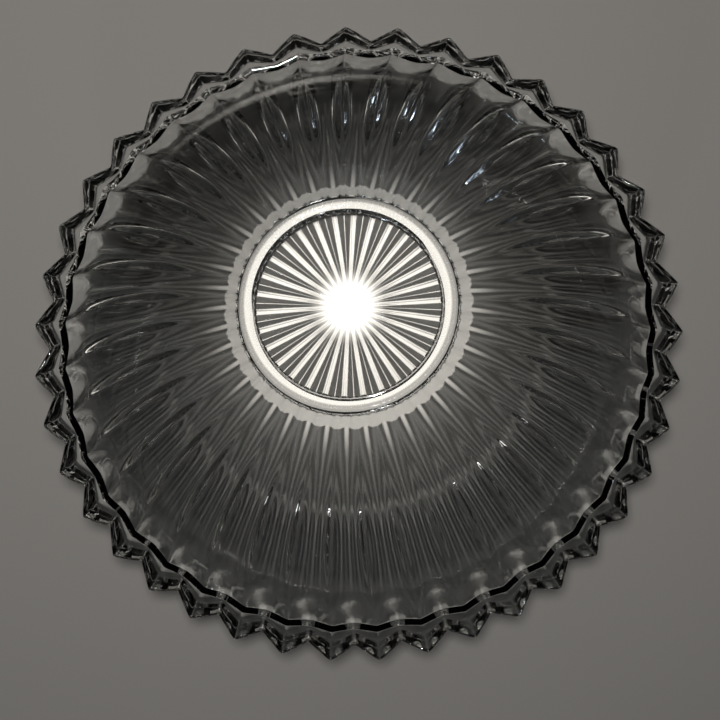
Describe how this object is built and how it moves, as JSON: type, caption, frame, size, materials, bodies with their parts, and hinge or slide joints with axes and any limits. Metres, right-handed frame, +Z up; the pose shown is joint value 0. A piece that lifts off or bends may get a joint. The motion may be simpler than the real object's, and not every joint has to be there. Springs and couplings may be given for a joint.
{
  "type": "pressed glass bowl",
  "caption": "Round bowl of clear pressed glass with a fluted spherical wall, a sawtooth rim, a star pattern under the floor and a foot ring to stand on.",
  "frame": {"origin": "centre of the foot ring's rest face, on the bowl's axis", "axes": "+Z up along the bowl's axis, out of its mouth; +X through the tip of a tooth that stands over a groove of the star"},
  "size_m": [0.25, 0.25, 0.095],
  "materials": {
    "clear_glass": "polished"
  },
  "bodies": {
    "root": {"bowl": "clear_glass"}
  },
  "joints": []
}
